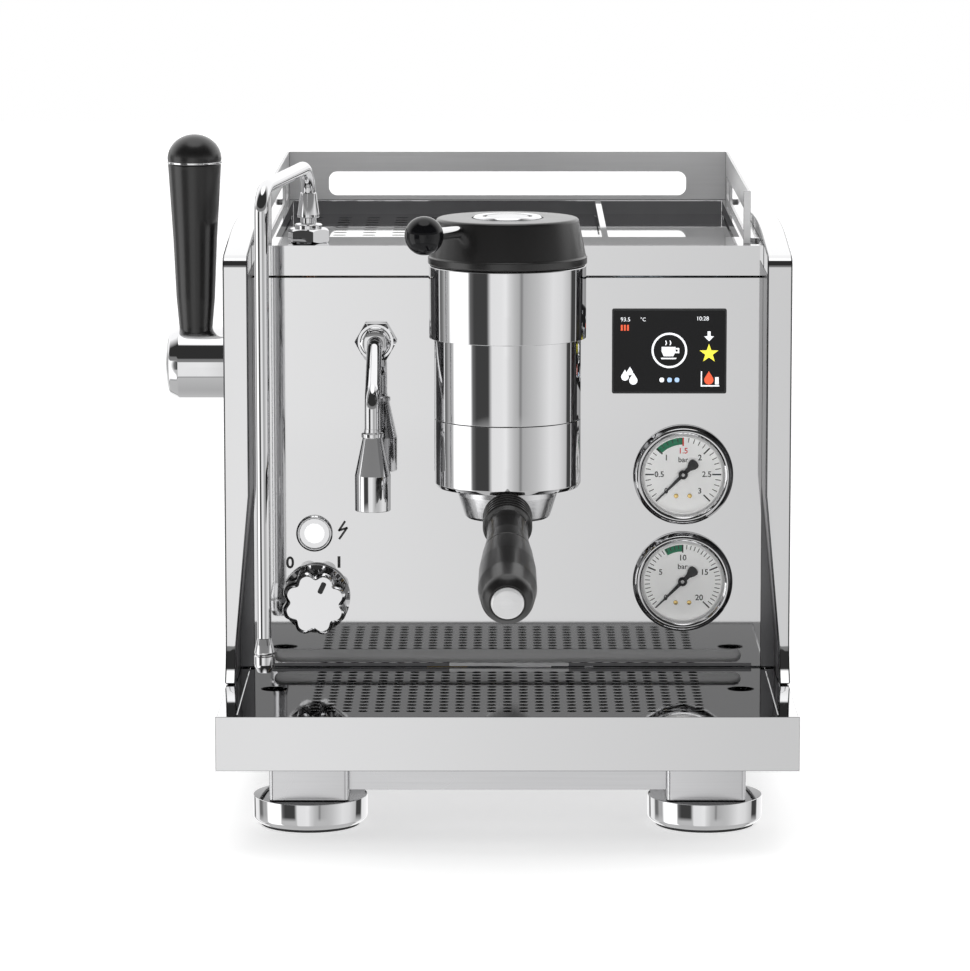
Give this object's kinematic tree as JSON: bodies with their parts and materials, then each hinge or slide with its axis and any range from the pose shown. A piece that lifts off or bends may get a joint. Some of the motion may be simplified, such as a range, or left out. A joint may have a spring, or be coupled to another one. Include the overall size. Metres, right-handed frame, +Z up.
{
  "type": "espresso machine",
  "caption": "Polished steel espresso machine with a paddle group, portafilter, steam wand, hot-water spout, gauges, touch display, cup rail and drip tray.",
  "frame": {"origin": "on the table, under the middle of the whole outline, lever and portafilter handle included", "axes": "+Z up, +Y to the back, +X to the right as seen from the front"},
  "size_m": [0.4054, 0.6372, 0.4305],
  "materials": {
    "polished_steel": "mirror-polished stainless steel sheet",
    "chrome": "bright chrome plate",
    "brushed_steel": "satin stainless steel",
    "satin_black": "satin black soft-touch plastic",
    "gloss_black": "gloss black",
    "black_paint": "matt black enamel",
    "rubber": "black rubber",
    "brass": "machined brass",
    "copper": "drawn copper tube",
    "motor_grey": "dark grey paint",
    "clear_plastic": "translucent moulded plastic",
    "gauge_glass": "clear flat glass",
    "dial_white": "white enamel dial"
  },
  "bodies": {
    "machine": {"base_frame": "brushed_steel", "foot_blocks": "brushed_steel", "foot_cups": "polished_steel", "foot_pads": "rubber", "left_cheek": "polished_steel", "right_cheek": "polished_steel", "front_panel": "polished_steel", "back_panel": "brushed_steel", "top_cover": "polished_steel", "cup_plate": "polished_steel", "water_tank": "clear_plastic", "cup_rail": "polished_steel", "group_body": "chrome", "group_upper_cover": "chrome", "group_sleeve": "chrome", "group_collar": "brass", "group_gasket": "rubber", "shower_screen": "brushed_steel", "brew_boiler": "brushed_steel", "steam_boiler": "brushed_steel", "safety_valve": "brass", "gear_pump": "brass", "pump_motor": "motor_grey", "solenoid_valves": "motor_grey", "control_box": "gloss_black", "pipes": "copper", "steam_valve_body": "brass", "wand_nut": "chrome", "spout_nut": "chrome", "display_unit": "gloss_black", "gauge_cases": "dial_white", "gauge_bezels": "chrome", "gauge_glasses": "gauge_glass", "power_lamp": "chrome", "power_switch": "gloss_black", "power_inlet": "gloss_black", "water_inlet": "brass", "panel_screws": "brushed_steel"},
    "tray": {"drip_tray": "polished_steel"},
    "grate": {"drip_grate": "polished_steel"},
    "lid": {"tank_lid": "polished_steel"},
    "paddle": {"paddle_cap": "satin_black", "paddle_stem": "chrome", "paddle_ball": "gloss_black"},
    "portafilter": {"portafilter_bowl": "chrome", "filter_basket": "brushed_steel", "portafilter_handle": "satin_black", "handle_end_cap": "chrome", "portafilter_spout": "chrome"},
    "steam_lever": {"lever_hub": "chrome", "lever_handle": "satin_black", "lever_ring": "chrome"},
    "valve_stem": {"steam_valve_stem": "brushed_steel"},
    "wand": {"wand_pipe": "chrome", "wand_tip": "chrome"},
    "spout": {"hot_water_spout": "chrome"},
    "steam_gauge_needle": {"steam_needle": "black_paint"},
    "pump_gauge_needle": {"pump_needle": "black_paint"},
    "knob": {"power_knob": "chrome"},
    "pump_shaft": {"pump_coupling": "brushed_steel"}
  },
  "joints": [
    {"name": "tray_slide", "type": "slide", "parent": "machine", "child": "tray", "axis": [0, -1, 0], "range_m": [0, 0.18]},
    {"name": "grate_lift", "type": "slide", "parent": "tray", "child": "grate", "axis": [0, 0, 1], "range_m": [0, 0.012]},
    {"name": "tank_lid_lift", "type": "slide", "parent": "machine", "child": "lid", "axis": [0, 0, 1], "range_m": [0, 0.06]},
    {"name": "paddle_turn", "type": "hinge", "parent": "machine", "child": "paddle", "pos_m": [0.02175, -0.1217, 0.37], "axis": [0, 0, 1], "range_deg": [0, 84]},
    {"name": "portafilter_turn", "type": "hinge", "parent": "machine", "child": "portafilter", "pos_m": [0.02175, -0.1217, 0.235], "axis": [0, 0, 1], "range_deg": [-45, 0]},
    {"name": "steam_lever_turn", "type": "hinge", "parent": "machine", "child": "steam_lever", "pos_m": [-0.17825, 0.0413, 0.2795], "axis": [1, 0, 0], "range_deg": [0, 45]},
    {"name": "steam_valve_stem_slide", "type": "slide", "parent": "machine", "child": "valve_stem", "axis": [-1, 0, 0], "range_m": [0, 0.00276]},
    {"name": "wand_swivel", "type": "hinge", "parent": "machine", "child": "wand", "pos_m": [-0.10725, -0.0037, 0.37], "axis": [0, 0, 1], "range_deg": [-25, 10]},
    {"name": "spout_swivel", "type": "hinge", "parent": "machine", "child": "spout", "pos_m": [-0.06325, -0.0337, 0.3023], "axis": [0, 1, 0], "range_deg": [-12, 12]},
    {"name": "steam_needle_turn", "type": "hinge", "parent": "machine", "child": "steam_gauge_needle", "pos_m": [0.13555, -0.0277, 0.215], "axis": [0, 1, 0], "range_deg": [0, 270], "stiffness_Nm_per_rad": 0.00005},
    {"name": "pump_needle_turn", "type": "hinge", "parent": "machine", "child": "pump_gauge_needle", "pos_m": [0.13555, -0.0277, 0.1448], "axis": [0, 1, 0], "range_deg": [0, 270], "stiffness_Nm_per_rad": 0.00005},
    {"name": "power_knob_turn", "type": "hinge", "parent": "machine", "child": "knob", "pos_m": [-0.10295, -0.0337, 0.134], "axis": [0, 1, 0], "range_deg": [-65, 0]},
    {"name": "pump_shaft_spin", "type": "hinge", "parent": "machine", "child": "pump_shaft", "pos_m": [-0.01825, 0.0813, 0.104], "axis": [0, 1, 0], "continuous": true}
  ],
  "couplings": [
    {"joint": "steam_valve_stem_slide", "follows": "steam_lever_turn", "m_per_rad": 0.0035}
  ]
}
